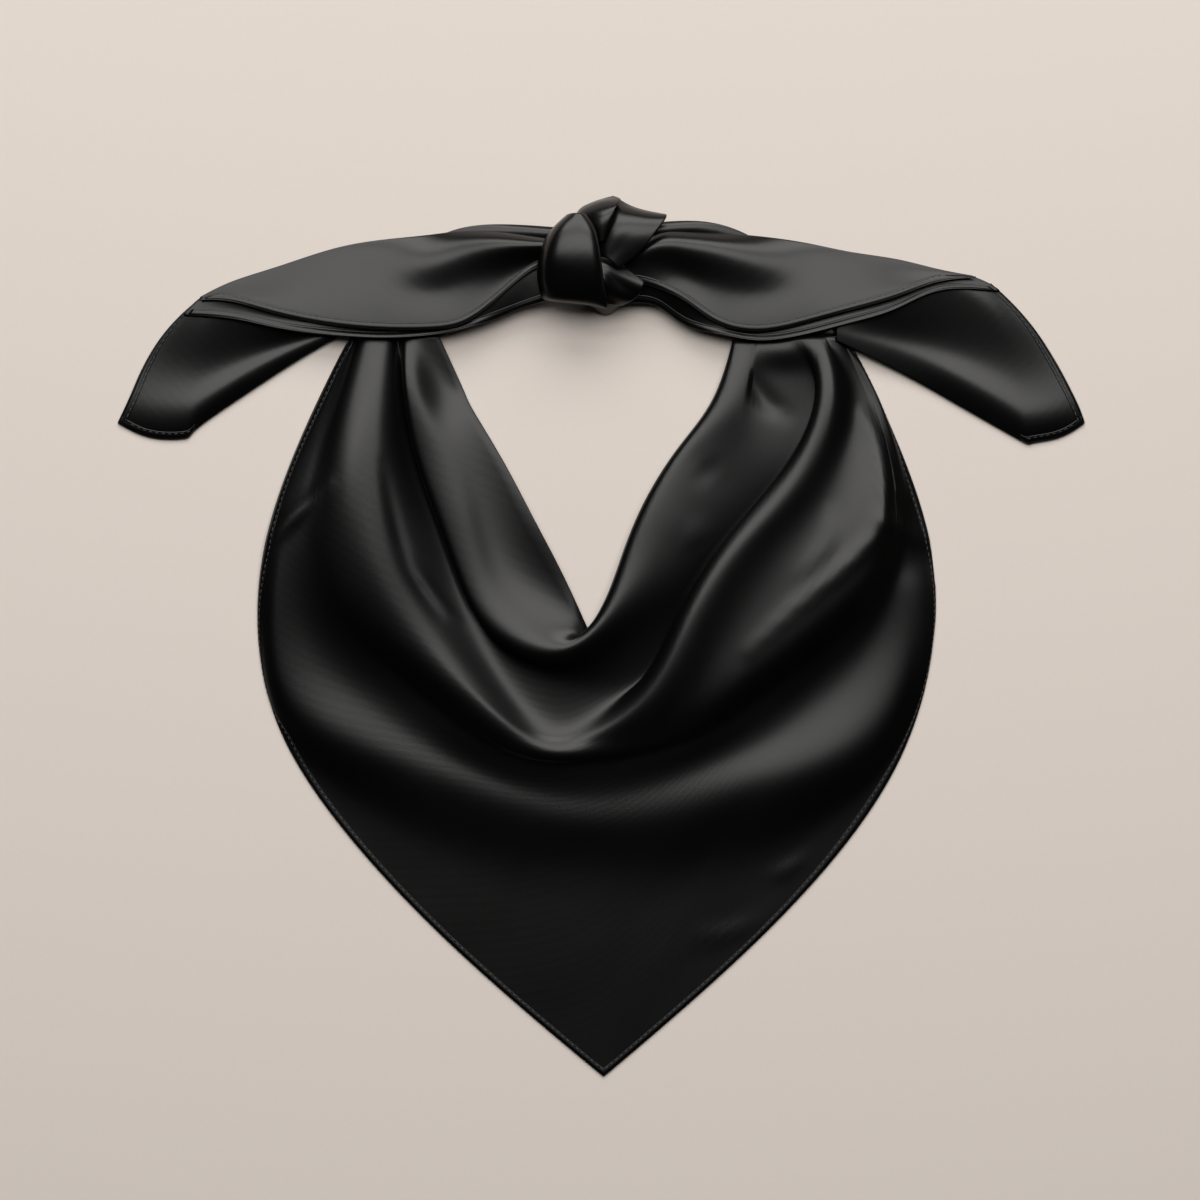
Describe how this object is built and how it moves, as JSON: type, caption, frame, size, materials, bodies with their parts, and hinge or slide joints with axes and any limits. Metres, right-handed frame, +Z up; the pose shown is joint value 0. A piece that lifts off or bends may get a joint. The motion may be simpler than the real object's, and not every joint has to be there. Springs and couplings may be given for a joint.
{
  "type": "neckerchief",
  "caption": "Black satin neckerchief, a square folded corner to corner and tied in an overhand knot, lying flat with a draped front and open neck loop.",
  "frame": {"origin": "middle of the footprint, on the surface the neckerchief lies on", "axes": "+Z up from the surface, +Y from the low point of the drape toward the knot, +X toward the right-hand tail"},
  "size_m": [0.4098, 0.373, 0.028],
  "materials": {
    "satin": "satin"
  },
  "bodies": {
    "root": {"front_drape": "satin", "neck_band_left": "satin", "neck_band_right": "satin", "tail_left": "satin", "tail_left_under": "satin", "tail_left_end": "satin", "tail_right": "satin", "tail_right_under": "satin", "tail_right_end": "satin", "knot_wrap": "satin", "knot_loop": "satin", "knot_flap": "satin", "knot_folds": "satin", "knot_nub": "satin", "knot_core": "satin"}
  },
  "joints": []
}
